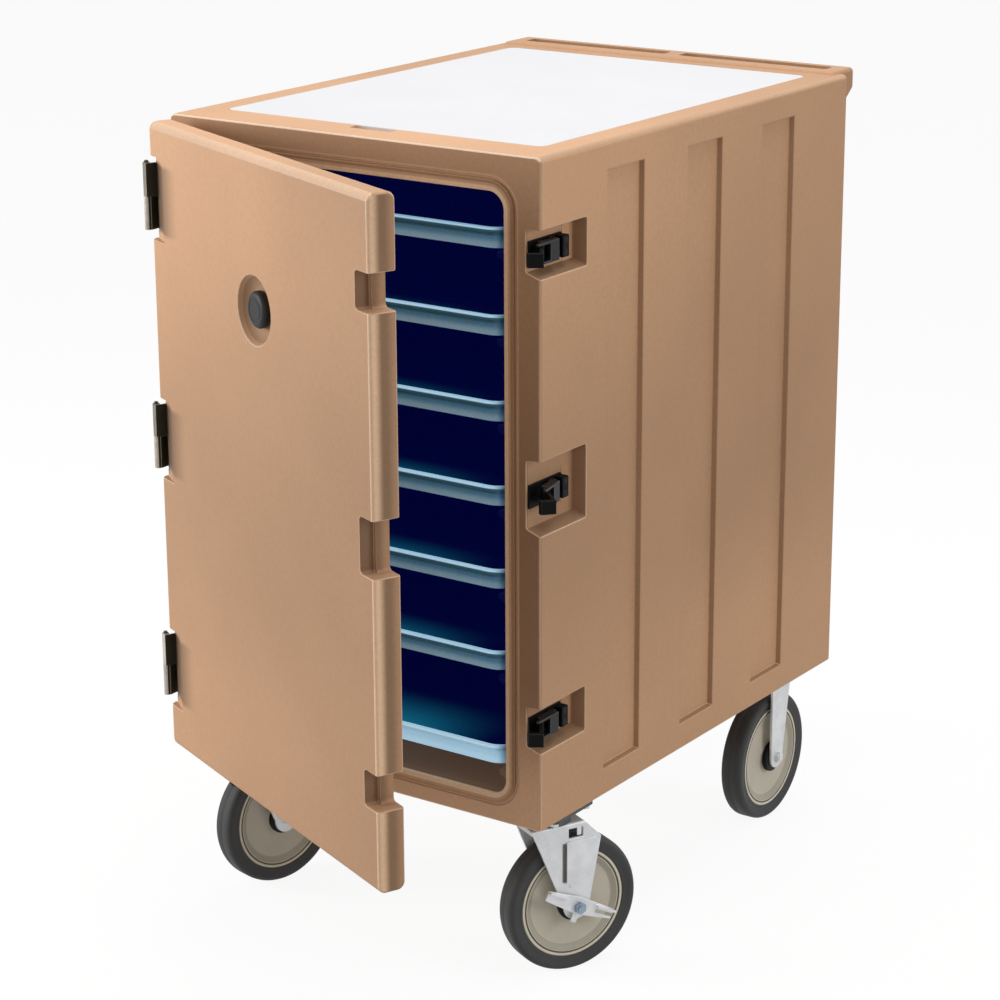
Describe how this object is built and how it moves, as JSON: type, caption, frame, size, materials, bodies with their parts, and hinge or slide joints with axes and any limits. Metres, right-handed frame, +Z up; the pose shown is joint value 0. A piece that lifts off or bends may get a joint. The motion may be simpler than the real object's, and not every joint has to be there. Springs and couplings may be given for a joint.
{
  "type": "food storage cart",
  "caption": "Tall insulated food storage cart with a side-hinged latching door, stacked trays, a cutting board in the roof, a rear push handle and large casters.",
  "frame": {"origin": "middle of the bounding box's footprint, door ajar, on the floor", "axes": "+Z up, -Y out of the front where the door is, +X to the right of someone facing the door"},
  "size_m": [0.771, 1.3398, 1.377],
  "materials": {
    "sand_plastic": "moulded sand-brown plastic, fine satin grain",
    "foam": "pale rigid foam",
    "dark_plastic": "charcoal moulded plastic",
    "blue_plastic": "pale blue plastic trays, satin gloss",
    "white_plastic": "white polyethylene, fine matt",
    "seal_rubber": "dark seal",
    "zinc_steel": "bright zinc plate",
    "hinge_steel": "dark olive-black coating",
    "core_plastic": "beige moulded wheel centre",
    "tyre_rubber": "dark grey rubber"
  },
  "bodies": {
    "cart": {"body_shell": "sand_plastic", "body_insulation": "foam", "body_fill_plug": "dark_plastic", "body_liner": "sand_plastic", "tray_1": "blue_plastic", "tray_2": "blue_plastic", "tray_3": "blue_plastic", "tray_4": "blue_plastic", "tray_5": "blue_plastic", "tray_6": "blue_plastic", "tray_7": "blue_plastic", "hinge_body_leaf_lower": "hinge_steel", "hinge_body_leaf_middle": "hinge_steel", "hinge_body_leaf_upper": "hinge_steel", "hinge_pins": "hinge_steel", "hinge_body_screws": "zinc_steel", "latch_base_lower": "dark_plastic", "latch_base_middle": "dark_plastic", "latch_base_upper": "dark_plastic", "latch_pins": "zinc_steel", "latch_screws": "zinc_steel", "caster_plate_left": "zinc_steel", "rear_fork_left": "zinc_steel", "caster_plate_right": "zinc_steel", "rear_fork_right": "zinc_steel", "kingpins": "zinc_steel", "rear_axles": "zinc_steel", "caster_bolts": "zinc_steel"},
    "door": {"door_shell": "sand_plastic", "door_panel": "sand_plastic", "door_insulation": "foam", "door_fill_plug": "dark_plastic", "door_gasket": "seal_rubber", "vent_bush": "dark_plastic", "hinge_door_leaf_lower": "hinge_steel", "hinge_door_leaf_middle": "hinge_steel", "hinge_door_leaf_upper": "hinge_steel", "hinge_door_screws": "zinc_steel"},
    "vent_cap": {"vent_cap": "dark_plastic"},
    "board": {"cutting_board": "white_plastic"},
    "latch_lever_lower": {"latch_lever_lower": "dark_plastic"},
    "latch_hook_lower": {"latch_hook_lower": "dark_plastic"},
    "latch_lever_middle": {"latch_lever_middle": "dark_plastic"},
    "latch_hook_middle": {"latch_hook_middle": "dark_plastic"},
    "latch_lever_upper": {"latch_lever_upper": "dark_plastic"},
    "latch_hook_upper": {"latch_hook_upper": "dark_plastic"},
    "front_swivel_left": {"front_fork_left": "zinc_steel", "front_axle_left": "zinc_steel"},
    "front_wheel_left": {"front_wheel_core_left": "core_plastic", "front_tyre_left": "tyre_rubber"},
    "rear_wheel_left": {"rear_wheel_core_left": "core_plastic", "rear_tyre_left": "tyre_rubber"},
    "front_swivel_right": {"front_fork_right": "zinc_steel", "front_axle_right": "zinc_steel"},
    "front_wheel_right": {"front_wheel_core_right": "core_plastic", "front_tyre_right": "tyre_rubber"},
    "rear_wheel_right": {"rear_wheel_core_right": "core_plastic", "rear_tyre_right": "tyre_rubber"},
    "brake": {"brake_lever_right": "zinc_steel"}
  },
  "joints": [
    {"name": "door_swing", "type": "hinge", "parent": "cart", "child": "door", "pos_m": [-0.37946, -0.38214, 0.845], "axis": [0, 0, -1], "range_deg": [-23.5, 246.5]},
    {"name": "vent_turn", "type": "hinge", "parent": "door", "child": "vent_cap", "pos_m": [-0.04336, -0.52829, 1.13], "axis": [-0.3987, -0.9171, 0], "range_deg": [0, 180]},
    {"name": "board_lift", "type": "slide", "parent": "cart", "child": "board", "axis": [0, 0, 1], "range_m": [0, 0.25]},
    {"name": "lever_swing_lower", "type": "hinge", "parent": "cart", "child": "latch_lever_lower", "pos_m": [0.33004, -0.27214, 0.465], "axis": [0, 0, 1], "range_deg": [0, 95]},
    {"name": "hook_swing_lower", "type": "hinge", "parent": "latch_lever_lower", "child": "latch_hook_lower", "pos_m": [0.33104, -0.30614, 0.465], "axis": [0, 0, 1], "range_deg": [-36, 30]},
    {"name": "lever_swing_middle", "type": "hinge", "parent": "cart", "child": "latch_lever_middle", "pos_m": [0.33004, -0.27214, 0.845], "axis": [0, 0, 1], "range_deg": [-12, 83]},
    {"name": "hook_swing_middle", "type": "hinge", "parent": "latch_lever_middle", "child": "latch_hook_middle", "pos_m": [0.33809, -0.30519, 0.845], "axis": [0, 0, 1], "range_deg": [-36, 30]},
    {"name": "lever_swing_upper", "type": "hinge", "parent": "cart", "child": "latch_lever_upper", "pos_m": [0.33004, -0.27214, 1.225], "axis": [0, 0, 1], "range_deg": [0, 95]},
    {"name": "hook_swing_upper", "type": "hinge", "parent": "latch_lever_upper", "child": "latch_hook_upper", "pos_m": [0.33104, -0.30614, 1.225], "axis": [0, 0, 1], "range_deg": [-36, 30]},
    {"name": "front_swivel_left", "type": "hinge", "parent": "cart", "child": "front_swivel_left", "pos_m": [-0.31696, -0.22414, 0.2667], "axis": [0, 0, 1], "continuous": true},
    {"name": "front_spin_left", "type": "hinge", "parent": "front_swivel_left", "child": "front_wheel_left", "pos_m": [-0.30849, -0.19018, 0.119], "axis": [0.9703, -0.2419, 0], "continuous": true},
    {"name": "rear_spin_left", "type": "hinge", "parent": "cart", "child": "rear_wheel_left", "pos_m": [-0.28496, 0.53186, 0.119], "axis": [1, 0, 0], "continuous": true},
    {"name": "front_swivel_right", "type": "hinge", "parent": "cart", "child": "front_swivel_right", "pos_m": [0.29104, -0.22414, 0.2667], "axis": [0, 0, 1], "continuous": true},
    {"name": "front_spin_right", "type": "hinge", "parent": "front_swivel_right", "child": "front_wheel_right", "pos_m": [0.30666, -0.19282, 0.119], "axis": [0.8949, -0.4462, 0], "continuous": true},
    {"name": "rear_spin_right", "type": "hinge", "parent": "cart", "child": "rear_wheel_right", "pos_m": [0.25904, 0.53186, 0.119], "axis": [1, 0, 0], "continuous": true},
    {"name": "brake_press", "type": "hinge", "parent": "front_swivel_right", "child": "brake", "pos_m": [0.30666, -0.19282, 0.119], "axis": [0.8949, -0.4462, 0], "range_deg": [0, 25]}
  ]
}
